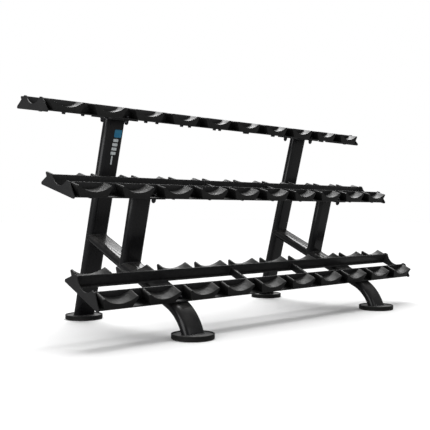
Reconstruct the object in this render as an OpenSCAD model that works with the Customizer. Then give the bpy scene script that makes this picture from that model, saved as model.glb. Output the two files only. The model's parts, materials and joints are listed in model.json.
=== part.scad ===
// Three-tier saddle dumbbell rack: two welded side frames of flat-oval tube
// carry three tilted trays, and each tray holds two rows of moulded saddles.
// Millimetres. +X runs along the rack, -Y is the front, +Z is up.
// The origin is on the floor, midway between the four feet.

/* [Trays] */
// Saddles along one rail
saddles_per_rail = 10; // [8:2:12]
// Distance from one saddle to the next
saddle_pitch = 240; // [215:1:290]
// Gap from the last saddle to the end plate
end_gap = 7; // [4:1:15]
// Tilt of the top tray, front edge down
top_tilt = 9; // [5:0.5:14]
// Tilt of the middle tray, front edge down
middle_tilt = 15; // [11:0.5:20]
// Distance between the two rails' webs, inside face to inside face
channel_w = 136; // [110:1:165]

/* [Rails and plates] */
// Thickness of the flat bars that a rail is welded from
rail_t = 5; // [3:0.5:7]
// Full height of a rail, base and web together
rail_h = 56; // [46:1:68]
// How far a rail's base reaches inwards, past its web
rail_lip = 10; // [8:1:12]
// Thickness of the crown-shaped end plates
end_plate_t = 5; // [3:0.5:8]
// Width of the box-tube cross ties, along the rack
tie_w = 20; // [16:1:24]
// Height of the cross ties
tie_h = 36; // [30:1:40]
// Wall of the cross ties
tie_wall = 2; // [1.5:0.5:3]
// Outside corner radius of the cross ties
tie_corner_r = 4; // [3.5:0.5:5]
// Thickness of the mount plates
mount_plate_t = 6; // [4:0.5:10]
// Length of a mount plate along the rack
mount_plate_w = 116; // [95:1:140]
// Metal left beyond a tray bolt's centre on a mount plate
mount_edge = 16; // [13:1:24]

/* [Saddles] */
// Width of a saddle at its tips
saddle_top_w = 186; // [155:1:210]
// Width of a saddle at its base
saddle_base_w = 146; // [120:1:175]
// Depth of a saddle, front to back
saddle_depth = 58; // [48:1:70]
// Height of a saddle's tips above the rail's shelf
saddle_h = 50; // [42:1:60]
// Thickness left under the middle of the cradle
cradle_floor = 21; // [19:0.5:26]
// Width of the flat top of each tip
tip_flat = 4; // [2:0.5:8]
// Corner radius of each tip
tip_r = 6; // [3:0.5:8]
// Gap between a saddle and the rail's web
saddle_gap = 1.5; // [1:0.5:4]

/* [Side frames] */
// Width of the flat-oval tube
tube_w = 118; // [98:1:142]
// Depth of the flat-oval tube
tube_d = 50; // [41:1:60]
// Wall of the flat-oval tube
tube_wall = 3; // [2:0.25:4]
// Weld gap at a coped tube's rounded sides
weld_gap = 0.6; // [0.4:0.1:1]
// Saddle gaps from the rack's middle to each side frame
frame_gap_index = 3; // [2:1:3]
// Distance between the front and rear feet
foot_spread = 860; // [717:1:1032]
// Height of the top tray's mount plate, at its middle
top_tray_h = 1032; // [860:1:1238]
// Lean of the rear uprights, towards the front
rear_lean = 15; // [12:0.5:18]
// Lean of the front uprights, towards the front
front_lean = 14; // [11:0.5:17]
// Length of the front uprights along their centre line
front_upright_len = 361; // [301:1:433]
// Slope of the base tube, and tilt of the bottom tray on it
base_slope = 24.5; // [20.5:0.5:29.5]
// Centre-line radius of the base tube's bend
bend_r = 225; // [188:1:270]
// Angle of the base tube's bend, down to the front foot plate
bend_angle = 45.5; // [38:0.5:54]
// From the bend to the middle of the bottom tray, along the tube
bottom_tray_run = 89; // [80:1:106]
// From the bend to the foot of the front upright, along the tube
front_upright_run = 377; // [330:1:450]

/* [Feet] */
// Diameter of the rubber foot pads
pad_d = 196; // [164:1:235]
// Full height of the foot pads, with their rim
pad_h = 24; // [20:1:29]
// Rubber left under the foot plates
pad_floor = 12; // [10:0.5:15]
// Thickness of the pads' raised rim
pad_rim = 6; // [5:0.5:8]
// Chamfer at the pads' lower edge
pad_chamfer = 4; // [2:0.5:5]
// Thickness of the steel foot plates
foot_plate_t = 8; // [6:0.5:10]
// Clearance around a foot plate in its pad
pad_gap = 0.5; // [0.25:0.25:1]
// Screws that hold a pad to its foot plate
pad_screws_each = 3; // [3:1:4]

/* [Fasteners] */
// Nominal diameter of the saddle bolts
saddle_bolt_d = 10; // [8:2:12]
// Nominal diameter of the tray bolts
tray_bolt_d = 12; // [10:2:14]
// Nominal diameter of the pad screws
pad_screw_d = 6; // [5:1:7]
// Radial clearance around a bolt in its hole
bolt_clearance = 0.5; // [0.25:0.25:1]
// Radial play between a bolt's shank and the thread that takes it
thread_play = 0.1; // [0.05:0.05:0.2]
// Wall of the brass inserts in the saddles
insert_wall = 2.5; // [2:0.5:3]
// Length of the brass inserts
insert_len = 16; // [12:1:17]

/* [Hidden] */
$fn = 64;

left = -1;
right = 1;
front = -1;
rear = 1;
top = 0;
middle = 1;
bottom = 2;
through = 1; // how far a cutting tool passes a face
reach = 2000; // longer than any tube, for trimming ends
bend_past = 20; // how far the bend runs on below the foot plate, before it is trimmed

// Places along the rack
frame_x = frame_gap_index * saddle_pitch;
tie_x = saddle_pitch;
row_len = (saddles_per_rail - 1) * saddle_pitch;
rail_len = row_len + saddle_top_w + 2 * end_gap;
tray_len = rail_len + 2 * end_plate_t;

// One tray's section, with z = 0 at the underside of its mount plates
web_y = channel_w / 2;
shelf_z = mount_plate_t + rail_t;
saddle_y = web_y + rail_t + saddle_gap;
bolt_y = saddle_y + saddle_depth / 2;
rail_edge_y = saddle_y + saddle_depth;
mount_plate_l = 2 * (bolt_y + mount_edge);

// Side frame, worked forwards and backwards from the feet
foot_y = foot_spread / 2;
foot_top = pad_floor + foot_plate_t;
flat_w = tube_w - tube_d;
beam_dir = [cos(base_slope), sin(base_slope)];
beam_up = [-sin(base_slope), cos(base_slope)];
leg_out = base_slope + bend_angle; // the bend's radius at the foot, from upright
bend_centre = [-foot_y, foot_top] + bend_r * [sin(leg_out), -cos(leg_out)];
bend_start = bend_centre + bend_r * beam_up;
front_foot_of_upright = bend_start + front_upright_run * beam_dir;
rear_top = [foot_y - (top_tray_h - foot_top) * tan(rear_lean), top_tray_h];

// Each tray's origin in [y, z], and its tilt
tray_at = [
  rear_top,
  front_foot_of_upright + front_upright_len * [-sin(front_lean), cos(front_lean)],
  bend_start + bottom_tray_run * beam_dir + tube_d / 2 * beam_up
];
tray_tilt = [top_tilt, middle_tilt, base_slope];

// Saddle outline
tip_x = saddle_top_w / 2;
cradle_x = tip_x - tip_r - tip_flat;
cradle_drop = saddle_h - cradle_floor;
cradle_r = (cradle_x * cradle_x + cradle_drop * cradle_drop) / (2 * cradle_drop);

// Fastener sizes that follow the nominal diameters
function hex_af(d) = 1.6 * d;
function head_h(d) = 0.64 * d;
function washer_d(d) = 2 * d;
function washer_t(d) = 0.2 * d;
weld_nut_h = 0.85 * tray_bolt_d;
cap_nut_hex_h = 0.9 * tray_bolt_d;
insert_r = saddle_bolt_d / 2 + thread_play + insert_wall;
insert_play = 0.05;
thread_bite = 0.75 * insert_len;
pad_screw_ring = pad_d / 2 - pad_rim - 3 * pad_screw_d;
pad_head_sink = pad_floor / 2;
tube_skin_gap = 0.05; // keeps a nut's corners just off the tube's wall

// The bottom tray's front weld nuts reach past the start of the bend, where the wall drops
bend_skin_r = bend_r + tube_d / 2 - tube_wall;
nut_past_bend = max(0, bolt_y + hex_af(tray_bolt_d) / 2 / cos(30) - bottom_tray_run);
weld_nut_sink = tube_skin_gap + bend_skin_r - sqrt(bend_skin_r * bend_skin_r - nut_past_bend * nut_past_bend);

paint = "#2b2b2c";
plate_paint = "#3a3a3b";
plastic = "#262626";
rubber = "#151515";
black_oxide = "#1c1c1d";
brass = "#b08d4a";

// ---------- placing ----------

module at_tray(tier) {
  translate([0, tray_at[tier][0], tray_at[tier][1]])
    rotate([tray_tilt[tier], 0, 0])
      children();
}

module at_each_saddle() {
  for (tier = [top, middle, bottom], side = [front, rear], i = [0 : saddles_per_rail - 1])
    at_tray(tier)
      translate([i * saddle_pitch - row_len / 2, side * bolt_y, 0])
        children();
}

module at_tray_bolts(tiers) {
  for (tier = tiers, end = [left, right], side = [front, rear])
    at_tray(tier)
      translate([end * frame_x, side * bolt_y, 0])
        children();
}

module at_feet() {
  for (end = [left, right], side = [front, rear])
    translate([end * frame_x, side * foot_y, 0])
      children();
}

// ---------- flat-oval tube ----------

module oval(flat, depth) {
  square([flat, depth], center = true);
  for (s = [left, right])
    translate([s * flat / 2, 0])
      circle(d = depth);
}

// Section of the tube, or of the solid cutter that copes another tube to it.
// The cutter is wider but no deeper, so the tubes' flats still touch.
module tube_section(cutter) {
  difference() {
    oval(flat_w + (cutter ? 2 * weld_gap : 0), tube_d);
    if (!cutter)
      oval(flat_w, tube_d - 2 * tube_wall);
  }
}

// Everything below a tray's underside
module below_tray(tier) {
  at_tray(tier)
    translate([-tray_len / 2, -reach, -2 * reach])
      cube([tray_len, 2 * reach, 2 * reach]);
}

module above_foot_plates() {
  translate([-tray_len / 2, -reach, foot_top])
    cube([tray_len, 2 * reach, 2 * reach]);
}

module rear_tube(cutter) {
  translate([0, foot_y, foot_top])
    rotate([rear_lean, 0, 0])
      translate([0, 0, -tube_d])
        linear_extrude(reach)
          tube_section(cutter);
}

// Turns the bend's own frame into place: x is its radius, y runs up the tube
module at_bend() {
  translate([0, bend_centre[0], bend_centre[1]])
    rotate([base_slope, 0, 0])
      rotate([0, -90, 0])
        children();
}

// Sloping run and bend of the base tube, both longer than they are needed
module base_tube() {
  at_bend() {
    base_tube_run(false);
    rotate_extrude(angle = -bend_angle - bend_past, $fn = 96)
      translate([bend_r, 0])
        rotate(90)
          tube_section(false);
  }
}

module base_tube_run(cutter) {
  rotate([-90, 0, 0])
    linear_extrude(reach)
      translate([bend_r, 0])
        rotate(90)
          tube_section(cutter);
}

// Half space behind the rear uprights' centre plane
module behind_rear_uprights() {
  translate([-tray_len / 2, foot_y, foot_top])
    rotate([rear_lean, 0, 0])
      translate([0, 0, -reach])
        cube([tray_len, reach, 3 * reach]);
}

// Half space under the base tube's centre plane
module under_beam() {
  translate([-tray_len / 2, bend_start[0], bend_start[1]])
    rotate([base_slope, 0, 0])
      translate([0, -reach, -reach])
        cube([tray_len, 3 * reach, reach]);
}

// ---------- side frames ----------

module rear_upright(end) {
  color(paint)
    translate([end * frame_x, 0, 0])
      intersection() {
        rear_tube(false);
        translate([-end * frame_x, 0, 0])
          intersection() {
            below_tray(top);
            above_foot_plates();
          }
      }
}

module front_upright(end) {
  color(paint)
    translate([end * frame_x, 0, 0])
      difference() {
        translate([0, front_foot_of_upright[0], front_foot_of_upright[1]])
          rotate([front_lean, 0, 0])
            translate([0, 0, -tube_d])
              linear_extrude(reach)
                tube_section(false);
        at_bend()
          base_tube_run(true);
        under_beam();
        at_tray(middle)
          translate([-tray_len / 2, -reach, 0])
            cube([tray_len, 2 * reach, 2 * reach]);
      }
}

module base_leg(end) {
  color(paint)
    translate([end * frame_x, 0, 0])
      difference() {
        base_tube();
        rear_tube(true);
        behind_rear_uprights();
        translate([-tube_w, -reach, foot_top - reach])
          cube([2 * tube_w, 2 * reach, reach]);
        for (side = [front, rear])
          at_tray(bottom)
            translate([0, side * bolt_y, -tube_wall - weld_nut_sink - through])
              cylinder(r = tray_bolt_d / 2 + bolt_clearance, h = tube_wall + weld_nut_sink + 2 * through);
      }
}

// ---------- feet ----------

module foot_plate(end, side) {
  color(plate_paint)
    translate([end * frame_x, side * foot_y, pad_floor])
      difference() {
        cylinder(r = pad_d / 2 - pad_rim - pad_gap, h = foot_plate_t, $fn = 96);
        pad_screw_ring_of()
          translate([0, 0, -through])
            cylinder(r = pad_screw_d / 2 + thread_play, h = foot_plate_t / 2 + through);
      }
}

module foot_pad(end, side) {
  color(rubber)
    translate([end * frame_x, side * foot_y, 0])
      difference() {
        rotate_extrude($fn = 96)
          polygon([
            [0, 0],
            [pad_d / 2 - pad_chamfer, 0],
            [pad_d / 2, pad_chamfer],
            [pad_d / 2, pad_h - 1],
            [pad_d / 2 - 1, pad_h],
            [pad_d / 2 - pad_rim, pad_h],
            [pad_d / 2 - pad_rim, pad_floor],
            [0, pad_floor]
          ]);
        pad_screw_ring_of() {
          translate([0, 0, -through])
            cylinder(r = pad_screw_d / 2 + bolt_clearance, h = pad_floor + 2 * through);
          translate([0, 0, -through])
            cylinder(r = pad_screw_d + bolt_clearance, h = pad_head_sink + through);
        }
      }
}

module pad_screw_ring_of() {
  for (i = [0 : pad_screws_each - 1])
    rotate(i * 360 / pad_screws_each)
      translate([pad_screw_ring, 0, 0])
        children();
}

// ---------- trays ----------

module mount_plate(tier, end) {
  color(plate_paint)
    at_tray(tier)
      translate([end * frame_x, 0, 0])
        difference() {
          translate([-mount_plate_w / 2, -mount_plate_l / 2, 0])
            cube([mount_plate_w, mount_plate_l, mount_plate_t]);
          for (side = [front, rear])
            translate([0, side * bolt_y, -through])
              cylinder(r = tray_bolt_d / 2 + bolt_clearance, h = mount_plate_t + 2 * through);
        }
}

// A rail is an upside-down T of two flat bars, mirrored for the front of a tray
module at_rail(tier, side) {
  at_tray(tier)
    mirror([0, side == front ? 1 : 0, 0])
      translate([-rail_len / 2, 0, 0])
        children();
}

// Flat bar that the saddles stand on
module rail_base(tier, side) {
  color(paint)
    at_rail(tier, side)
      difference() {
        translate([0, web_y - rail_lip, mount_plate_t])
          cube([rail_len, rail_edge_y - web_y + rail_lip, rail_t]);
        for (i = [0 : saddles_per_rail - 1])
          translate([(rail_len - row_len) / 2 + i * saddle_pitch, bolt_y, mount_plate_t - through])
            cylinder(r = saddle_bolt_d / 2 + bolt_clearance, h = rail_t + 2 * through);
        for (end = [left, right])
          translate([rail_len / 2 + end * frame_x, bolt_y, mount_plate_t - through])
            cylinder(r = tray_bolt_d / 2 + bolt_clearance, h = rail_t + 2 * through);
      }
}

// Flat bar on edge, behind the saddles
module rail_web(tier, side) {
  color(paint)
    at_rail(tier, side)
      translate([0, web_y, shelf_z])
        cube([rail_len, rail_t, rail_h - rail_t]);
}

// Crown-shaped outline: wide rounded foot, two peaks and a round valley
module end_plate_outline() {
  foot_half = rail_edge_y + 5;
  foot_r = 8;
  peak_z = mount_plate_t + rail_h + 3;
  peak_y = web_y + rail_t / 2 + 3;
  peak_r = 9;
  valley_half = web_y - 6;
  valley_drop = 35;
  valley_r = (valley_half * valley_half + valley_drop * valley_drop) / (2 * valley_drop);
  difference() {
    union() {
      for (s = [left, right]) {
        translate([s * (foot_half - foot_r), foot_r])
          circle(r = foot_r);
        translate([s * (peak_y + 3), peak_z - peak_r])
          circle(r = peak_r);
      }
      polygon([
        [-foot_half + foot_r, 0],
        [foot_half - foot_r, 0],
        [foot_half - foot_r * (1 - sin(46)), foot_r + foot_r * cos(46)],
        [peak_y + 3 + peak_r * sin(46), peak_z - peak_r + peak_r * cos(46)],
        [peak_y + 3, peak_z],
        [-peak_y - 3, peak_z],
        [-peak_y - 3 - peak_r * sin(46), peak_z - peak_r + peak_r * cos(46)],
        [-foot_half + foot_r * (1 - sin(46)), foot_r + foot_r * cos(46)]
      ]);
    }
    translate([0, peak_z - valley_drop + valley_r])
      circle(r = valley_r, $fn = 96);
  }
}

module end_plate(tier, end) {
  color(plate_paint)
    at_tray(tier)
      translate([end * (rail_len + end_plate_t) / 2 - end_plate_t / 2, 0, 0])
        rotate([90, 0, 90])
          linear_extrude(end_plate_t)
            end_plate_outline();
}

module round_rectangle(w, h, r) {
  square([w - 2 * r, h], center = true);
  square([w, h - 2 * r], center = true);
  for (x = [left, right], y = [left, right])
    translate([x * (w / 2 - r), y * (h / 2 - r)])
      circle(r = r);
}

// Box tube that stands on the two rails' bases and runs from web to web
module cross_tie(tier, end) {
  color(paint)
    at_tray(tier)
      translate([end * tie_x, web_y, shelf_z + tie_h / 2])
        rotate([90, 0, 0])
          linear_extrude(channel_w)
            difference() {
              round_rectangle(tie_w, tie_h, tie_corner_r);
              round_rectangle(tie_w - 2 * tie_wall, tie_h - 2 * tie_wall, tie_corner_r - tie_wall);
            }
}

// ---------- saddles ----------

function arc_points(cx, cz, r, from, to, steps) =
  [for (i = [0 : steps]) let (a = from + (to - from) * i / steps) [cx + r * cos(a), cz + r * sin(a)]];

// Trapezoid with rounded tips, and the cradle cut out of its top
module saddle_outline() {
  lean = atan2(tip_x - saddle_base_w / 2, saddle_h - tip_r);
  difference() {
    polygon(concat(
      [[-saddle_base_w / 2, 0], [saddle_base_w / 2, 0]],
      arc_points(tip_x - tip_r, saddle_h - tip_r, tip_r, -lean, 90, 4),
      arc_points(tip_r - tip_x, saddle_h - tip_r, tip_r, 90, 180 + lean, 4)
    ));
    translate([0, cradle_floor + cradle_r])
      circle(r = cradle_r, $fn = 128);
  }
}

module saddle() {
  difference() {
    translate([0, saddle_depth / 2, 0])
      rotate([90, 0, 0])
        linear_extrude(saddle_depth)
          saddle_outline();
    translate([0, 0, -through])
      cylinder(r = insert_r + insert_play, h = insert_len + insert_play + through);
  }
}

module saddle_row(tier, side) {
  color(plastic)
    at_tray(tier)
      for (i = [0 : saddles_per_rail - 1])
        translate([i * saddle_pitch - row_len / 2, side * bolt_y, shelf_z])
          saddle();
}

module saddle_inserts() {
  color(brass)
    at_each_saddle()
      translate([0, 0, shelf_z])
        difference() {
          cylinder(r = insert_r, h = insert_len);
          translate([0, 0, -through])
            cylinder(r = saddle_bolt_d / 2 + thread_play, h = insert_len + 2 * through);
        }
}

// ---------- fasteners ----------

module hex(d, h) {
  cylinder(d = hex_af(d) / cos(30), h = h, $fn = 6);
}

// Hex bolt, head down, with its bearing face at z = 0
module bolt(d, length) {
  translate([0, 0, -head_h(d)])
    hex(d, head_h(d));
  cylinder(d = d, h = length);
}

module washer(d) {
  difference() {
    cylinder(d = washer_d(d), h = washer_t(d));
    translate([0, 0, -through])
      cylinder(r = d / 2 + thread_play, h = washer_t(d) + 2 * through);
  }
}

module saddle_bolts() {
  color(black_oxide)
    at_each_saddle()
      translate([0, 0, mount_plate_t - washer_t(saddle_bolt_d)])
        bolt(saddle_bolt_d, washer_t(saddle_bolt_d) + rail_t + thread_bite);
}

module saddle_washers() {
  color(black_oxide)
    at_each_saddle()
      translate([0, 0, mount_plate_t - washer_t(saddle_bolt_d)])
        washer(saddle_bolt_d);
}

// Shank length of a tray bolt, from under its head to inside its nut
function tray_bolt_len(tier) =
  washer_t(tray_bolt_d) + rail_t + mount_plate_t
  + (tier == bottom ? tube_wall + weld_nut_sink + weld_nut_h : washer_t(tray_bolt_d) + cap_nut_hex_h);

module tray_bolts() {
  color(black_oxide)
    for (tier = [top, middle, bottom])
      at_tray_bolts([tier])
        translate([0, 0, shelf_z + washer_t(tray_bolt_d)])
          rotate([180, 0, 0])
            bolt(tray_bolt_d, tray_bolt_len(tier));
}

module tray_head_washers() {
  color(black_oxide)
    at_tray_bolts([top, middle, bottom])
      translate([0, 0, shelf_z])
        washer(tray_bolt_d);
}

module tray_nut_washers() {
  color(black_oxide)
    at_tray_bolts([top, middle])
      translate([0, 0, -washer_t(tray_bolt_d)])
        washer(tray_bolt_d);
}

// Domed cap nut, opening upwards at z = 0
module cap_nut(d) {
  dome_r = 0.5 * hex_af(d) - 0.5;
  difference() {
    union() {
      translate([0, 0, -cap_nut_hex_h])
        hex(d, cap_nut_hex_h);
      translate([0, 0, -cap_nut_hex_h])
        rotate_extrude()
          intersection() {
            circle(r = dome_r);
            translate([0, -dome_r])
              square([dome_r, dome_r]);
          }
    }
    translate([0, 0, -cap_nut_hex_h - 1])
      cylinder(r = d / 2 + thread_play, h = cap_nut_hex_h + 1 + through);
  }
}

module tray_cap_nuts() {
  color(black_oxide)
    at_tray_bolts([top, middle])
      translate([0, 0, -washer_t(tray_bolt_d)])
        cap_nut(tray_bolt_d);
}

// Nuts welded inside the base tube for the bottom tray's bolts
module beam_weld_nuts() {
  color(black_oxide)
    at_tray_bolts([bottom])
      translate([0, 0, -tube_wall - weld_nut_sink - weld_nut_h])
        difference() {
          hex(tray_bolt_d, weld_nut_h);
          translate([0, 0, -through])
            cylinder(r = tray_bolt_d / 2 + thread_play, h = weld_nut_h + 2 * through);
        }
}

module pad_screws() {
  color(black_oxide)
    at_feet()
      pad_screw_ring_of() {
        translate([0, 0, pad_head_sink - head_h(pad_screw_d)])
          cylinder(r = 0.85 * pad_screw_d, h = head_h(pad_screw_d));
        translate([0, 0, pad_head_sink])
          cylinder(d = pad_screw_d, h = pad_floor - pad_head_sink + foot_plate_t / 2 - 1);
      }
}

// ---------- the nodes ----------

rear_upright(left);  // rear_upright_left
rear_upright(right);  // rear_upright_right
front_upright(left);  // front_upright_left
front_upright(right);  // front_upright_right
base_leg(left);  // base_leg_left
base_leg(right);  // base_leg_right
foot_plate(left, rear);  // foot_plate_rear_left
foot_plate(right, rear);  // foot_plate_rear_right
foot_plate(left, front);  // foot_plate_front_left
foot_plate(right, front);  // foot_plate_front_right
foot_pad(left, rear);  // foot_pad_rear_left
foot_pad(right, rear);  // foot_pad_rear_right
foot_pad(left, front);  // foot_pad_front_left
foot_pad(right, front);  // foot_pad_front_right
mount_plate(top, left);  // mount_plate_top_left
mount_plate(top, right);  // mount_plate_top_right
mount_plate(middle, left);  // mount_plate_middle_left
mount_plate(middle, right);  // mount_plate_middle_right
mount_plate(bottom, left);  // mount_plate_bottom_left
mount_plate(bottom, right);  // mount_plate_bottom_right
rail_base(top, front);  // rail_base_top_front
rail_web(top, front);  // rail_web_top_front
rail_base(top, rear);  // rail_base_top_rear
rail_web(top, rear);  // rail_web_top_rear
rail_base(middle, front);  // rail_base_middle_front
rail_web(middle, front);  // rail_web_middle_front
rail_base(middle, rear);  // rail_base_middle_rear
rail_web(middle, rear);  // rail_web_middle_rear
rail_base(bottom, front);  // rail_base_bottom_front
rail_web(bottom, front);  // rail_web_bottom_front
rail_base(bottom, rear);  // rail_base_bottom_rear
rail_web(bottom, rear);  // rail_web_bottom_rear
end_plate(top, left);  // end_plate_top_left
end_plate(top, right);  // end_plate_top_right
end_plate(middle, left);  // end_plate_middle_left
end_plate(middle, right);  // end_plate_middle_right
end_plate(bottom, left);  // end_plate_bottom_left
end_plate(bottom, right);  // end_plate_bottom_right
cross_tie(top, left);  // cross_tie_top_left
cross_tie(top, right);  // cross_tie_top_right
cross_tie(middle, left);  // cross_tie_middle_left
cross_tie(middle, right);  // cross_tie_middle_right
cross_tie(bottom, left);  // cross_tie_bottom_left
cross_tie(bottom, right);  // cross_tie_bottom_right
saddle_row(top, front);  // saddles_top_front
saddle_row(top, rear);  // saddles_top_rear
saddle_row(middle, front);  // saddles_middle_front
saddle_row(middle, rear);  // saddles_middle_rear
saddle_row(bottom, front);  // saddles_bottom_front
saddle_row(bottom, rear);  // saddles_bottom_rear
saddle_inserts();
saddle_bolts();
saddle_washers();
tray_bolts();
tray_head_washers();
tray_nut_washers();
tray_cap_nuts();
beam_weld_nuts();
pad_screws();
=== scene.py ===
"""Looks for a tiered saddle dumbbell rack: powder-coated steel, moulded saddles, rubber feet."""

import json
import math

import bpy
from mathutils import Matrix, Vector

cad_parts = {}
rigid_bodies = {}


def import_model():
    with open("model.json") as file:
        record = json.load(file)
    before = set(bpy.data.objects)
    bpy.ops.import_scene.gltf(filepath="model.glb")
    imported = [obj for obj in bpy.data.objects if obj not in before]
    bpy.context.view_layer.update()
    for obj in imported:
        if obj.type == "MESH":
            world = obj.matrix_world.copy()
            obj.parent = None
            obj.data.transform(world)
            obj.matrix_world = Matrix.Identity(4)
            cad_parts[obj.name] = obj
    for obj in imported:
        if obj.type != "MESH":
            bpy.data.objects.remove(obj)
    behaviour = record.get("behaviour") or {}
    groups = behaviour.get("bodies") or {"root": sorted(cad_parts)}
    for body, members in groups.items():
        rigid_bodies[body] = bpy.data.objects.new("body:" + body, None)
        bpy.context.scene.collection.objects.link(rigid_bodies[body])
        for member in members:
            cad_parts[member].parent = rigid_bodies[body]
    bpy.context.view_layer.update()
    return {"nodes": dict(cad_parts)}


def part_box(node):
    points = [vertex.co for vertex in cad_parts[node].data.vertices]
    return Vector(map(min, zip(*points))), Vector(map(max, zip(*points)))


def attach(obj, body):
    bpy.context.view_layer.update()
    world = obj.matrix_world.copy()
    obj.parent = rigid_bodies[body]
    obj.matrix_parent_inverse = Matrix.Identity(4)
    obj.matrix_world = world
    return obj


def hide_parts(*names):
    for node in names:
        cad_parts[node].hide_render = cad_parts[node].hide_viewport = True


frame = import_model()
MM = 0.001
TIERS = ("top", "middle", "bottom")
SIDES = (-1, 1)


# ---------- sizes and places ----------

# Angles of the side frames, the trays and the front feet
REAR_LEAN = math.radians(15)
FRONT_LEAN = math.radians(14)
BASE_SLOPE = math.radians(24.5)
FOOT_STEEPNESS = math.radians(70)
TILT = {"top": math.radians(9), "middle": math.radians(15), "bottom": BASE_SLOPE}

# Sections, across a tray and up from its mount plates' underside
TUBE_FLAT = 68 * MM
TUBE_R = 25 * MM
MOUNT_T = 6 * MM
RAIL_T = 5 * MM
RAIL_LIP = 10 * MM
TIE_H = 36 * MM
SHELF = MOUNT_T + RAIL_T
TIE_TOP = SHELF + TIE_H
WEB_IN = 68 * MM
WEB_OUT = WEB_IN + RAIL_T
WEB_TOP = 62 * MM
LIP_EDGE = WEB_IN - RAIL_LIP
RAIL_EDGE = 132.5 * MM

# Weld beads and small details
BEAD_R = 3.2 * MM
BEAD_STEP = 5 * MM  # from one ripple of a bead to the next
RIPPLE = (0.74, 1.0, 0.92)  # a bead's radius through one ripple, as shares of the full one
POINTS_PER_RIPPLE = len(RIPPLE)
GROOVE_W = 4 * MM
GROOVE_D = 1.2 * MM
PAD_RIM = 6 * MM
PAD_CHAMFER = 4 * MM
PAD_SCREWS = 3
PAD_SCREW_D = 6 * MM
PAD_SCREW_PLAY = 0.5 * MM
GRIP_RINGS = (0.3, 0.45, 0.6, 0.9)  # radii of the grooves below, as shares of the pad's
SIDE_GROOVES = (0.36, 0.6)  # heights of the grooves round the side, as shares of the pad's
BOLT_SIZES = (10 * MM, 12 * MM)
HEAD_ACROSS = 1.6  # a hex head's width across flats, as a multiple of the bolt's size
LABEL_T = 0.3 * MM

# Looks
SHEEN = 0.3  # reflectance of the black paint and plastic at square view, as the socket takes it
FLOOR_BOUNCE = "#8c8c8c"  # what the floor throws back up


def centre(node):
    low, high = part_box(node)
    return (low + high) / 2


def top_in_side_view(node):
    """The middle of a node's top, as y and z."""
    return Vector((centre(node).y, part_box(node)[1].z))


frame_x = {end: centre("foot_plate_rear_" + end).x for end in ("left", "right")}
rear_foot = top_in_side_view("foot_plate_rear_right")
front_foot = top_in_side_view("foot_plate_front_left")


def tray(tier):
    """A tray's own place: x along the rack, z = 0 at the underside of its mount plates."""
    middle = centre(f"mount_plate_{tier}_left")
    turn = Matrix.Rotation(TILT[tier], 4, "X")
    return Matrix.Translation((0, middle.y, middle.z)) @ turn @ Matrix.Translation((0, 0, -MOUNT_T / 2))


def meet(normal_a, distance_a, normal_b, distance_b):
    """Where two lines of the side view cross. Each is given by its normal and its distance."""
    across = normal_a.x * normal_b.y - normal_a.y * normal_b.x
    y = (distance_a * normal_b.y - distance_b * normal_a.y) / across
    z = (normal_a.x * distance_b - normal_b.x * distance_a) / across
    return Vector((y, z))


def front_of(lean):
    """Outward normal of the front face of a tube that leans forwards by this angle."""
    return Vector((-math.cos(lean), -math.sin(lean)))


# ---------- small helpers ----------


def only(*objects):
    """Selects these objects and nothing else."""
    bpy.ops.object.select_all(action="DESELECT")
    for o in objects:
        o.select_set(True)
    bpy.context.view_layer.objects.active = objects[0]


def own_copy(source, name):
    """A free copy of a CAD node, with its loose triangles merged into whole faces."""
    only(source)
    bpy.ops.object.duplicate()
    piece = bpy.context.object
    piece.name = name
    bpy.ops.object.parent_clear(type="CLEAR_KEEP_TRANSFORM")
    bpy.ops.object.mode_set(mode="EDIT")
    bpy.ops.mesh.select_all(action="SELECT")
    bpy.ops.mesh.remove_doubles(threshold=0.002 * MM)
    bpy.ops.mesh.dissolve_limited(angle_limit=math.radians(0.2))
    bpy.ops.object.mode_set(mode="OBJECT")
    return piece


def ease(piece, width, segments=2, angle=32):
    """Rounds a piece's sharp edges, as a brake, a mould or a thick coat leaves them."""
    bevel = piece.modifiers.new("eased_edges", "BEVEL")
    bevel.width = width
    bevel.segments = segments
    bevel.limit_method = "ANGLE"
    bevel.angle_limit = math.radians(angle)
    only(piece)
    bpy.ops.object.modifier_apply(modifier=bevel.name)
    bpy.ops.object.shade_smooth_by_angle(angle=math.radians(40))


def finish_piece(piece, material, slot, *nodes):
    """Gives a new piece its finish, its body and the CAD nodes that it stands for."""
    piece.data.materials.clear()
    piece.data.materials.append(material)
    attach(piece, "root")
    if nodes:
        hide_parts(*nodes)


def named(prefix):
    """The CAD nodes whose names start with this."""
    return [n for n in frame["nodes"] if n.startswith(prefix)]


# ---------- materials ----------


def srgb(hex_colour):
    """A colour written as sRGB hex, as linear red, green, blue and alpha."""
    channels = [int(hex_colour[i : i + 2], 16) / 255 for i in (1, 3, 5)]
    linear = [c / 12.92 if c <= 0.04045 else ((c + 0.055) / 1.055) ** 2.4 for c in channels]
    return (*linear, 1)


def add(tree, kind, inputs=None, **settings):
    """Adds a shader node with its settings, its values and the links that come into it.
    A node given as a value is linked by its first output."""
    node = tree.nodes.new("ShaderNode" + kind)
    for key, value in settings.items():
        setattr(node, key, value)
    for socket, value in (inputs or {}).items():
        if isinstance(value, bpy.types.Node):
            value = value.outputs[0]
        if isinstance(value, bpy.types.NodeSocket):
            tree.links.new(value, node.inputs[socket])
        else:
            node.inputs[socket].default_value = value
    return node


def new_material(name):
    material = bpy.data.materials.new(name)
    material.use_nodes = True
    tree = material.node_tree
    tree.nodes.clear()
    place = add(tree, "TexCoord").outputs["Object"]
    return material, tree, place


def facing_up(tree):
    """1 on faces that look straight up, 0 on upright ones and below."""
    normal = add(tree, "NewGeometry").outputs["Normal"]
    height = add(tree, "SeparateXYZ", {"Vector": normal}).outputs["Z"]
    return add(tree, "MapRange", {"Value": height, "From Min": 0.35, "From Max": 1.0})


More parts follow.
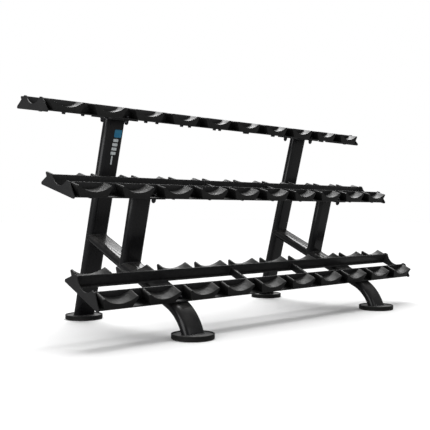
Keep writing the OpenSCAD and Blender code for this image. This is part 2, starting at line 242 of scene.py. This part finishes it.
def powder_coat(name, dark, light, roughness, peel_mm, dust_and_lit_top):
    """Polyester powder coat, baked on steel: black with a faint orange-peel ripple,
    corners rubbed a little paler, and tops paler in soft patches: partly dust, partly painted top
    light."""
    material, tree, place = new_material(name)
    patches = add(tree, "TexNoise", {"Vector": place, "Scale": 1 / (120 * MM), "Detail": 4.0})
    peel = add(tree, "TexNoise", {"Vector": place, "Scale": 1 / (peel_mm * MM), "Detail": 2.0})
    grit = add(tree, "TexNoise", {"Vector": place, "Scale": 1 / (0.9 * MM), "Detail": 2.0})
    chafe = add(tree, "TexNoise", {"Vector": place, "Scale": 1 / (14 * MM), "Detail": 4.0})
    drift = add(tree, "TexNoise", {"Vector": place, "Scale": 1 / (45 * MM), "Detail": 5.0})

    share = add(tree, "MapRange", {"Value": patches, "From Min": 0.35, "From Max": 0.7})
    colour = add(tree, "Mix", {0: share, 6: srgb(dark), 7: srgb(light)}, data_type="RGBA")

    corner = add(tree, "NewGeometry").outputs["Pointiness"]
    edge = add(tree, "MapRange", {"Value": corner, "From Min": 0.54, "From Max": 0.64})
    rubbed = add(tree, "Math", {0: edge, 1: chafe}, operation="MULTIPLY")
    worn = add(
        tree, "Mix", {0: rubbed, 6: colour.outputs[2], 7: srgb("#565657")}, data_type="RGBA"
    )

    # Painted top light: upward faces get a paler colour in patches, partly dust and partly the light
    # that falls on tops.
    dust_and_light_patches = add(
        tree,
        "MapRange",
        {"Value": drift, "From Min": 0.3, "From Max": 0.75, "To Min": 0.05, "To Max": 0.5},
    )
    dust = add(tree, "Math", {0: facing_up(tree), 1: dust_and_light_patches}, operation="MULTIPLY")
    dust_and_lit_colour = add(tree, "Mix", {0: dust, 6: worn.outputs[2], 7: srgb(dust_and_lit_top)}, data_type="RGBA")

    gloss = add(
        tree,
        "MapRange",
        {"Value": patches, "To Min": roughness - 0.05, "To Max": roughness + 0.08},
    )
    ripple = add(tree, "Bump", {"Height": peel, "Strength": 0.12, "Distance": 0.4 * MM})
    relief = add(
        tree,
        "Bump",
        {"Height": grit, "Strength": 0.05, "Distance": 0.2 * MM, "Normal": ripple},
    )
    shader = add(
        tree,
        "BsdfPrincipled",
        {
            "Base Color": dust_and_lit_colour.outputs[2],
            "Roughness": gloss,
            "Normal": relief,
            "IOR": 1.5,
            "Specular IOR Level": SHEEN,
        },
    )
    add(tree, "OutputMaterial", {"Surface": shader})
    return material


def moulded_saddle_nylon():
    """Glass-filled nylon, injection moulded with a spark-eroded grain: a soft satin black
    whose upward faces are paler in streaks: partly polish where dumbbells slide in and out, partly
    painted top light."""
    material, tree, place = new_material("moulded_saddle_nylon")
    grain = add(tree, "TexNoise", {"Vector": place, "Scale": 1 / (2.5 * MM), "Detail": 3.0})
    sliding = add(tree, "Mapping", {"Vector": place, "Scale": (1, 0.12, 1)})
    scuffs = add(tree, "TexNoise", {"Vector": sliding, "Scale": 1 / (12 * MM), "Detail": 5.0})

    share = add(tree, "MapRange", {"Value": scuffs, "From Min": 0.4, "From Max": 0.72})
    colour = add(tree, "Mix", {0: share, 6: srgb("#161616"), 7: srgb("#202020")}, data_type="RGBA")

    rubbed = add(
        tree,
        "MapRange",
        {"Value": scuffs, "From Min": 0.35, "From Max": 0.7, "To Min": 0.25, "To Max": 0.9},
    )
    # Painted top light: upward faces are paler in streaks, partly polish from sliding dumbbells, partly
    # the light that falls on them.
    polish_and_top_light = add(tree, "Math", {0: facing_up(tree), 1: rubbed}, operation="MULTIPLY")
    polished_and_lit_colour = add(
        tree, "Mix", {0: polish_and_top_light, 6: colour.outputs[2], 7: srgb("#4c4c4b")}, data_type="RGBA"
    )
    shader = add(
        tree,
        "BsdfPrincipled",
        {
            "Base Color": polished_and_lit_colour.outputs[2],
            "Roughness": add(tree, "MapRange", {"Value": polish_and_top_light, "To Min": 0.5, "To Max": 0.36}),
            "Normal": add(tree, "Bump", {"Height": grain, "Strength": 0.18, "Distance": 0.3 * MM}),
            "IOR": 1.53,
            "Specular IOR Level": SHEEN,
        },
    )
    add(tree, "OutputMaterial", {"Surface": shader})
    return material


def moulded_rubber():
    """Carbon-black rubber, compression moulded: nearly matt, greyed by floor dust low down."""
    material, tree, place = new_material("moulded_rubber")
    speck = add(tree, "TexNoise", {"Vector": place, "Scale": 1 / (4 * MM), "Detail": 6.0})
    height = add(tree, "SeparateXYZ", {"Vector": place}).outputs["Z"]
    near_floor = add(
        tree, "MapRange", {"Value": height, "From Max": 14 * MM, "To Min": 0.9, "To Max": 0.1}
    )
    dust = add(tree, "Math", {0: near_floor, 1: speck}, operation="MULTIPLY")
    colour = add(tree, "Mix", {0: dust, 6: srgb("#131313"), 7: srgb("#353331")}, data_type="RGBA")
    shader = add(
        tree,
        "BsdfPrincipled",
        {
            "Base Color": colour.outputs[2],
            "Roughness": 0.62,
            "Normal": add(tree, "Bump", {"Height": speck, "Strength": 0.25, "Distance": 0.3 * MM}),
            "IOR": 1.52,
            "Specular IOR Level": SHEEN,
        },
    )
    add(tree, "OutputMaterial", {"Surface": shader})
    return material


def black_oxide_steel():
    """Steel fasteners blackened in a hot bath: dark metal with an oily sheen, blotches
    from the bath, and brighter corners where a spanner has touched."""
    material, tree, place = new_material("black_oxide_steel")
    blotch = add(tree, "TexNoise", {"Vector": place, "Scale": 1 / (6 * MM), "Detail": 4.0})
    grain = add(tree, "TexNoise", {"Vector": place, "Scale": 1 / (0.8 * MM), "Detail": 3.0})

    share = add(tree, "MapRange", {"Value": blotch, "From Min": 0.35, "From Max": 0.75})
    colour = add(tree, "Mix", {0: share, 6: srgb("#1d1d1f"), 7: srgb("#38383b")}, data_type="RGBA")

    corner = add(tree, "NewGeometry").outputs["Pointiness"]
    touched = add(
        tree,
        "MapRange",
        {"Value": corner, "From Min": 0.54, "From Max": 0.66, "To Min": 0.0, "To Max": 0.7},
    )
    bright = add(
        tree, "Mix", {0: touched, 6: colour.outputs[2], 7: srgb("#77777a")}, data_type="RGBA"
    )
    shader = add(
        tree,
        "BsdfPrincipled",
        {
            "Base Color": bright.outputs[2],
            "Metallic": 1.0,
            "Roughness": add(tree, "MapRange", {"Value": blotch, "To Min": 0.32, "To Max": 0.5}),
            "Normal": add(tree, "Bump", {"Height": grain, "Strength": 0.1, "Distance": 0.1 * MM}),
        },
    )
    add(tree, "OutputMaterial", {"Surface": shader})
    return material


def turned_brass():
    """Free-cutting brass, turned: warm yellow metal with fine marks from the tool."""
    material, tree, place = new_material("turned_brass")
    marks = add(tree, "TexNoise", {"Vector": place, "Scale": 1 / (1 * MM), "Detail": 2.0})
    share = add(tree, "MapRange", {"Value": marks, "From Min": 0.3, "From Max": 0.7})
    colour = add(tree, "Mix", {0: share, 6: srgb("#9a7a3c"), 7: srgb("#c0a05a")}, data_type="RGBA")
    shader = add(
        tree,
        "BsdfPrincipled",
        {
            "Base Color": colour.outputs[2],
            "Metallic": 1.0,
            "Roughness": 0.32,
            "Normal": add(tree, "Bump", {"Height": marks, "Strength": 0.2, "Distance": 0.1 * MM}),
        },
    )
    add(tree, "OutputMaterial", {"Surface": shader})
    return material


def vinyl(name, clean, faded):
    """Cast vinyl film, screen printed: an even, slightly glossy colour, faded in patches."""
    material, tree, place = new_material(name)
    fading = add(tree, "TexNoise", {"Vector": place, "Scale": 1 / (18 * MM), "Detail": 4.0})
    grain = add(tree, "TexNoise", {"Vector": place, "Scale": 1 / (1.5 * MM), "Detail": 3.0})
    share = add(tree, "MapRange", {"Value": fading, "From Min": 0.35, "From Max": 0.7})
    colour = add(tree, "Mix", {0: share, 6: srgb(clean), 7: srgb(faded)}, data_type="RGBA")
    shader = add(
        tree,
        "BsdfPrincipled",
        {
            "Base Color": colour.outputs[2],
            "Roughness": add(tree, "MapRange", {"Value": fading, "To Min": 0.32, "To Max": 0.45}),
            "Normal": add(tree, "Bump", {"Height": grain, "Strength": 0.05, "Distance": 0.1 * MM}),
            "IOR": 1.5,
        },
    )
    add(tree, "OutputMaterial", {"Surface": shader})
    return material


def matt_white_floor():
    """Matt white paint: pale and plain. It is seen white, but lights the rack less than
    white would, so that undersides stay dark."""
    material, tree, place = new_material("matt_white_floor")
    mottle = add(tree, "TexNoise", {"Vector": place, "Scale": 1 / (300 * MM), "Detail": 2.0})
    colour = add(tree, "Mix", {0: mottle, 6: srgb("#f6f6f6"), 7: srgb("#fafafa")}, data_type="RGBA")
    seen = add(tree, "BsdfDiffuse", {"Color": colour.outputs[2]})
    thrown = add(tree, "BsdfDiffuse", {"Color": srgb(FLOOR_BOUNCE)})
    ray = add(tree, "LightPath").outputs["Is Camera Ray"]
    mix = add(tree, "MixShader", {0: ray, 1: thrown, 2: seen})
    add(tree, "OutputMaterial", {"Surface": mix})
    return material


# The last colour of each coat is laid on its upward faces: partly dust, partly painted top light.
frame_coat = powder_coat("satin_black_powder_coat", "#141416", "#1b1b1c", 0.22, 6, "#6e6c6a")
# Painted shade: the rails, cross ties and their welds get a darker copy of the black coat, with little
# top dust, standing for the shade they sit in between the saddles.
shaded_rail_coat = powder_coat("satin_black_rail_coat_painted_shade", "#0d0d0e", "#131314", 0.4, 6, "#1f1f1e")
plate_coat = powder_coat("fine_textured_plate_coat", "#1f1f20", "#272728", 0.5, 4, "#3c3b3a")
foot_coat = powder_coat("scuffed_foot_plate_coat", "#2c2c2d", "#3a3a3b", 0.38, 4, "#8a8987")
saddle_nylon = moulded_saddle_nylon()
rubber = moulded_rubber()
black_steel = black_oxide_steel()
brass = turned_brass()
blue_vinyl = vinyl("blue_vinyl_film", "#1f86b4", "#3a97bd")
pale_vinyl = vinyl("pale_vinyl_film", "#f4fbfc", "#dfeaec")


# ---------- pieces that stand for CAD nodes ----------

# node prefix: material, record slot, width of the eased edge
EASED = {
    "rear_upright": (frame_coat, "frame_paint", 0.6 * MM),
    "front_upright": (frame_coat, "frame_paint", 0.6 * MM),
    "base_leg": (frame_coat, "frame_paint", 0.6 * MM),
    "foot_plate": (foot_coat, "plate_paint", 1.2 * MM),
    "mount_plate": (plate_coat, "plate_paint", 1.0 * MM),
    "end_plate": (plate_coat, "plate_paint", 1.0 * MM),
    "rail": (shaded_rail_coat, "rail_paint", 0.8 * MM),
    "cross_tie": (shaded_rail_coat, "rail_paint", 0.6 * MM),
    "saddles": (saddle_nylon, "saddle_plastic", 2.2 * MM),
}


def eased_pieces():
    for prefix, (material, slot, width) in EASED.items():
        for node in named(prefix):
            piece = own_copy(frame["nodes"][node], "eased_" + node)
            ease(piece, width, 3 if prefix == "saddles" else 2)
            finish_piece(piece, material, slot, node)


def turned(name, profile):
    """Turns a closed solid round the upright axis from its profile of radius and height."""
    bpy.ops.object.select_all(action="DESELECT")
    bpy.ops.mesh.primitive_plane_add(size=MM, location=(0, 0, 0))
    piece = bpy.context.object
    piece.name = name
    bpy.ops.object.mode_set(mode="EDIT")
    bpy.ops.mesh.select_all(action="SELECT")
    bpy.ops.mesh.merge(type="CENTER")
    for (r0, z0), (r1, z1) in zip(profile, profile[1:]):
        step = (r1 - r0, 0, z1 - z0)
        bpy.ops.mesh.extrude_vertices_move(TRANSFORM_OT_translate={"value": step})
    bpy.ops.mesh.select_all(action="SELECT")
    bpy.ops.mesh.spin(steps=96, angle=math.tau, center=(0, 0, 0), axis=(0, 0, 1))
    bpy.ops.mesh.select_all(action="SELECT")
    bpy.ops.mesh.remove_doubles(threshold=0.01 * MM)
    bpy.ops.mesh.normals_make_consistent(inside=False)
    bpy.ops.object.mode_set(mode="OBJECT")
    return piece


def drill(piece, radius, ring_r, depth):
    """Round holes from below, one to a screw, evenly spaced on a ring."""
    tools = []
    for i in range(PAD_SCREWS):
        turn = math.tau * i / PAD_SCREWS
        bpy.ops.mesh.primitive_cylinder_add(
            vertices=32,
            radius=radius,
            depth=2 * depth,
            location=(ring_r * math.cos(turn), ring_r * math.sin(turn), 0),
        )
        tools.append(bpy.context.object)
    only(*tools)
    bpy.ops.object.join()
    tool = bpy.context.object
    boolean = piece.modifiers.new("holes", "BOOLEAN")
    boolean.operation = "DIFFERENCE"
    boolean.solver = "EXACT"
    boolean.object = tool
    only(piece)
    bpy.ops.object.modifier_apply(modifier=boolean.name)
    only(tool)
    bpy.ops.object.delete()


def groove(start, forward, inward):
    """Four profile points of a groove that runs forward from its start and is sunk inward."""
    stations = ((0, 0), (0.3, GROOVE_D), (0.7, GROOVE_D), (1, 0))
    return [start + forward * share * GROOVE_W + inward * sunk for share, sunk in stations]


def foot_pads():
    """Rubber pads with two grooves round the side, grip rings below and sunk screw holes."""
    low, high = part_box("foot_pad_front_left")
    side_r = (high.x - low.x) / 2
    top = high.z
    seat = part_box("foot_plate_front_left")[0].z
    outward = Vector((1, 0))
    upward = Vector((0, 1))
    profile = [(0, 0)]
    for share in GRIP_RINGS:
        profile += groove(outward * share * side_r, outward, upward)
    profile += [(side_r - PAD_CHAMFER, 0), (side_r, PAD_CHAMFER)]
    for share in SIDE_GROOVES:
        profile += groove(Vector((side_r, share * top)), upward, -outward)
    profile += [(side_r, top), (side_r - PAD_RIM, top), (side_r - PAD_RIM, seat), (0, seat)]
    model = turned("rubber_pad", profile)
    ease(model, 0.8 * MM, 3, 50)
    screw_ring = side_r - PAD_RIM - 3 * PAD_SCREW_D
    drill(model, PAD_SCREW_D / 2 + PAD_SCREW_PLAY, screw_ring, top)
    drill(model, PAD_SCREW_D + PAD_SCREW_PLAY, screw_ring, seat / 2)
    for node in named("foot_pad"):
        only(model)
        bpy.ops.object.duplicate()
        piece = bpy.context.object
        piece.name = "moulded_" + node
        piece.location = (centre(node).x, centre(node).y, 0)
        bpy.ops.object.transform_apply()
        bpy.ops.object.shade_smooth_by_angle(angle=math.radians(40))
        finish_piece(piece, rubber, "pad_rubber", node)
    only(model)
    bpy.ops.object.delete()


def fasteners():
    """Bolts, nuts and washers with eased corners, and a stamped dish in each hex head."""
    for prefix in ("saddle_bolts", "saddle_washers", "tray_", "beam_weld_nuts", "pad_screws"):
        for node in named(prefix):
            piece = own_copy(frame["nodes"][node], "finished_" + node)
            if node.endswith("bolts"):
                dish_heads(piece)
            ease(piece, 0.5 * MM, 2, 28)
            finish_piece(piece, black_steel, "black_steel", node)
    inserts = own_copy(frame["nodes"]["saddle_inserts"], "turned_inserts")
    ease(inserts, 0.4 * MM, 1)
    finish_piece(inserts, brass, "insert_brass", "saddle_inserts")


def dish_heads(piece):
    """Stamps a shallow dish in the flat end of every hex head, inside a plain rim."""
    areas = [math.sqrt(3) / 2 * (HEAD_ACROSS * size) ** 2 for size in BOLT_SIZES]
    for part in (*piece.data.vertices, *piece.data.edges):
        part.select = False
    for face in piece.data.polygons:
        near = any(abs(face.area - area) < 0.03 * area for area in areas)
        face.select = near and len(face.vertices) == 6
    only(piece)
    bpy.ops.object.mode_set(mode="EDIT")
    bpy.ops.mesh.select_mode(type="FACE")
    bpy.ops.mesh.inset(thickness=1.1 * MM, depth=0, use_individual=True)
    bpy.ops.mesh.inset(thickness=0.6 * MM, depth=-0.5 * MM, use_individual=True)
    bpy.ops.object.mode_set(mode="OBJECT")


# ---------- weld beads ----------


def bead(path, closed):
    """Runs a rippled bead along a seam."""
    bpy.ops.curve.primitive_nurbs_path_add(location=(0, 0, 0))
    seam = bpy.context.object
    shape = seam.data
    shape.splines.clear()
    line = shape.splines.new("POLY")
    line.points.add(len(path) - 1)
    for i, (point, place) in enumerate(zip(line.points, path)):
        point.co = (*place, 1)
        point.radius = RIPPLE[i % POINTS_PER_RIPPLE]
    line.use_cyclic_u = closed
    shape.bevel_depth = BEAD_R
    shape.bevel_resolution = 1
    shape.use_fill_caps = not closed
    only(seam)
    bpy.ops.object.convert(target="MESH")
    return bpy.context.object


def along(corners):
    """Evenly spaced points along straight stretches from corner to corner."""
    step = BEAD_STEP / POINTS_PER_RIPPLE
    points = []
    for start, end in zip(corners, corners[1:]):
        count = max(1, round((end - start).length / step))
        points += [start.lerp(end, i / count) for i in range(count)]
    return [*points, corners[-1]]


def oval():
    """Evenly spaced points round the flat-oval tube, as pairs: across and front to back."""
    arc = math.pi * TUBE_R
    half_way = TUBE_FLAT + arc
    count = POINTS_PER_RIPPLE * round(2 * half_way / BEAD_STEP)
    points = []
    for i in range(count):
        half, s = divmod(2 * half_way * i / count, half_way)
        sign = 1 - 2 * half
        if s < TUBE_FLAT:
            x, y = s - TUBE_FLAT / 2, -TUBE_R
        else:
            turn = (s - TUBE_FLAT) / TUBE_R
            x = TUBE_FLAT / 2 + TUBE_R * math.sin(turn)
            y = -TUBE_R * math.cos(turn)
        points.append((sign * x, sign * y))
    return points


def joined(beads, name, material, slot):
    only(*beads)
    bpy.ops.object.join()
    piece = bpy.context.object
    piece.name = name
    bpy.ops.object.shade_smooth_by_angle(angle=math.radians(60))
    finish_piece(piece, material, slot)


def frame_welds(end):
    """Beads at both ends of each upright, at the foot of the leg and at its rear end."""
    x0 = frame_x[end]
    ring = oval()
    beam_up = Vector((-math.sin(BASE_SLOPE), math.cos(BASE_SLOPE)))
    bottom_plate = tray("bottom").translation.yz
    middle_plate = tray("middle").translation.yz
    beam_line = beam_up.dot(bottom_plate) - TUBE_R
    front_face = front_of(FRONT_LEAN)
    rear_face = front_of(REAR_LEAN)
    front_axis = front_face.dot(middle_plate)
    rear_axis = rear_face.dot(rear_foot)
    upright_on_beam = []
    beam_on_upright = []
    for x, y in ring:
        place = meet(front_face, front_axis - y, beam_up, beam_line + abs(y))
        upright_on_beam.append((x0 + x, *place))
        place = meet(beam_up, beam_line - y, rear_face, rear_axis + abs(y))
        beam_on_upright.append((x0 + x, *place))
    seams = [upright_on_beam, beam_on_upright]
    for foot, stretch in (
        (rear_foot, 1 / math.cos(REAR_LEAN)),
        (front_foot, 1 / math.sin(FOOT_STEEPNESS)),
    ):
        seams.append([(x0 + x, foot.x + y * stretch, foot.y) for x, y in ring])
    for tier, lean in (("top", REAR_LEAN), ("middle", FRONT_LEAN)):
        stretch = 1 / math.cos(TILT[tier] - lean)
        seams.append([tray(tier) @ Vector((x0 + x, y * stretch, 0)) for x, y in ring])
    joined([bead(seam, True) for seam in seams], "frame_welds_" + end, frame_coat, "frame_paint")


def tray_welds(tier):
    """Beads where the rails meet the end plates, and round three sides of each cross tie."""
    place = tray(tier)
    bead_top = WEB_TOP - BEAD_R
    seams = []
    for end, outward in (("left", -1), ("right", 1)):
        low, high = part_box(f"end_plate_{tier}_{end}")
        plate_x = high.x if outward < 0 else low.x
        tie_low, tie_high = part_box(f"cross_tie_{tier}_{end}")
        for side in SIDES:
            inside = [(WEB_IN, bead_top), (WEB_IN, SHELF), (LIP_EDGE, SHELF)]
            outside = [(WEB_OUT, bead_top), (WEB_OUT, SHELF), (RAIL_EDGE - BEAD_R, SHELF)]
            for corners in (inside, outside):
                seams.append([(plate_x, side * y, z) for y, z in corners])
            web = side * WEB_IN
            seams.append([
                (tie_low.x, web, SHELF),
                (tie_low.x, web, TIE_TOP),
                (tie_high.x, web, TIE_TOP),
                (tie_high.x, web, SHELF),
            ])
    beads = [bead(along([place @ Vector(c) for c in seam]), False) for seam in seams]
    joined(beads, "tray_welds_" + tier, shaded_rail_coat, "rail_paint")


# ---------- plain label ----------


def sticker(name, material, x, up, width, height, corner):
    """A thin rounded sticker on the front face of the left rear upright."""
    bpy.ops.object.select_all(action="DESELECT")
    bpy.ops.mesh.primitive_plane_add(size=1, location=(0, 0, 0))
    piece = bpy.context.object
    piece.name = name
    piece.scale = (width, height, 1)
    bpy.ops.object.transform_apply(location=False, rotation=False, scale=True)
    bpy.ops.object.mode_set(mode="EDIT")
    bpy.ops.mesh.select_all(action="SELECT")
    bpy.ops.mesh.bevel(offset=corner, segments=5, affect="VERTICES")
    bpy.ops.mesh.select_all(action="SELECT")
    bpy.ops.mesh.extrude_region_move(TRANSFORM_OT_translate={"value": (0, 0, LABEL_T)})
    bpy.ops.mesh.select_all(action="SELECT")
    bpy.ops.mesh.normals_make_consistent(inside=False)
    bpy.ops.object.mode_set(mode="OBJECT")
    foot = Matrix.Translation((frame_x["left"], rear_foot.x, rear_foot.y))
    face = Matrix.Rotation(REAR_LEAN, 4, "X") @ Matrix.Translation((x, -TUBE_R, up))
    piece.matrix_world = foot @ face @ Matrix.Rotation(math.radians(90), 4, "X")
    only(piece)
    bpy.ops.object.transform_apply()
    finish_piece(piece, material, "frame_paint")


def plain_label():
    """A blue tile, a ladder of pale bars and a thin line: plain shapes with no wording."""
    tile = {"width": 44 * MM, "height": 40 * MM, "corner": 7 * MM}
    bar = {"width": 30 * MM, "height": 15 * MM, "corner": 3 * MM}
    line = {"width": 8 * MM, "height": 46 * MM, "corner": 3 * MM}
    sticker("label_tile", blue_vinyl, x=19 * MM, up=979 * MM, **tile)
    for i in range(4):
        place = {"x": (11 - 1.5 * i) * MM, "up": (944 - 22 * i) * MM}
        sticker(f"label_bar_{i + 1}", pale_vinyl, **place, **bar)
    sticker("label_line", pale_vinyl, x=3 * MM, up=842 * MM, **line)


eased_pieces()
foot_pads()
fasteners()
for end in frame_x:
    frame_welds(end)
for tier in TIERS:
    tray_welds(tier)
plain_label()


# ---------- floor, light and camera ----------


def lay_floor():
    bpy.ops.object.select_all(action="DESELECT")
    bpy.ops.mesh.primitive_plane_add(size=60, location=(0, 0, 0))
    floor = bpy.context.object
    floor.name = "studio_floor"
    floor.data.materials.append(matt_white_floor())


def aim(thing, target):
    thing.rotation_euler = (Vector(target) - thing.location).to_track_quat("-Z", "Y").to_euler()


def soft_sky(direction, spread, strength):
    """One very wide sun: the even overhead glow of a studio ceiling."""
    bpy.ops.object.light_add(type="SUN", location=Vector(direction) * 6)
    sky = bpy.context.object
    sky.name = "ceiling_glow"
    sky.data.angle = math.radians(spread)
    sky.data.energy = strength
    aim(sky, (0, 0, 0))


def soft_box(name, location, target, width, height, watts):
    bpy.ops.object.light_add(type="AREA", location=location)
    box = bpy.context.object
    box.name = name
    box.data.shape = "RECTANGLE"
    box.data.size = width
    box.data.size_y = height
    box.data.energy = watts
    box.visible_camera = False
    aim(box, target)


def white_studio(fill):
    """A white room. It is seen at full strength, but fills the shade only this much."""
    world = bpy.data.worlds.new("white_studio")
    bpy.context.scene.world = world
    world.use_nodes = True
    tree = world.node_tree
    tree.nodes.clear()
    seen = add(tree, "Background", {"Color": (1, 1, 1, 1), "Strength": 1.0})
    lit = add(tree, "Background", {"Color": (1, 1, 1, 1), "Strength": fill})
    ray = add(tree, "LightPath").outputs["Is Camera Ray"]
    mix = add(tree, "MixShader", {0: ray, 1: lit, 2: seen})
    add(tree, "OutputWorld", {"Surface": mix})


def set_camera(location, heading, pitch, lens):
    """Heading is measured from +Y towards +X, pitch from the horizon, both in degrees."""
    bpy.ops.object.camera_add(location=location)
    camera = bpy.context.object
    camera.rotation_euler = (math.radians(90 + pitch), 0, -math.radians(heading))
    camera.data.lens = lens
    camera.data.sensor_width = 36
    camera.data.clip_end = 200
    bpy.context.scene.camera = camera


lay_floor()
white_studio(0.27)
soft_sky((0.52, 0.44, 0.95), 50, 3.5)
soft_box("left_soft_box", (-4.2, -0.6, 1.6), (-0.4, 0, 0.6), 3, 2.5, 75)
soft_box("front_soft_box", (0.8, -5.0, 2.4), (0.2, 0, 0.5), 4, 2, 25)
set_camera((-2.8973, -2.8305, 0.5628), 43.947, -0.21, 60.9)
bpy.context.scene.view_settings.view_transform = "Standard"
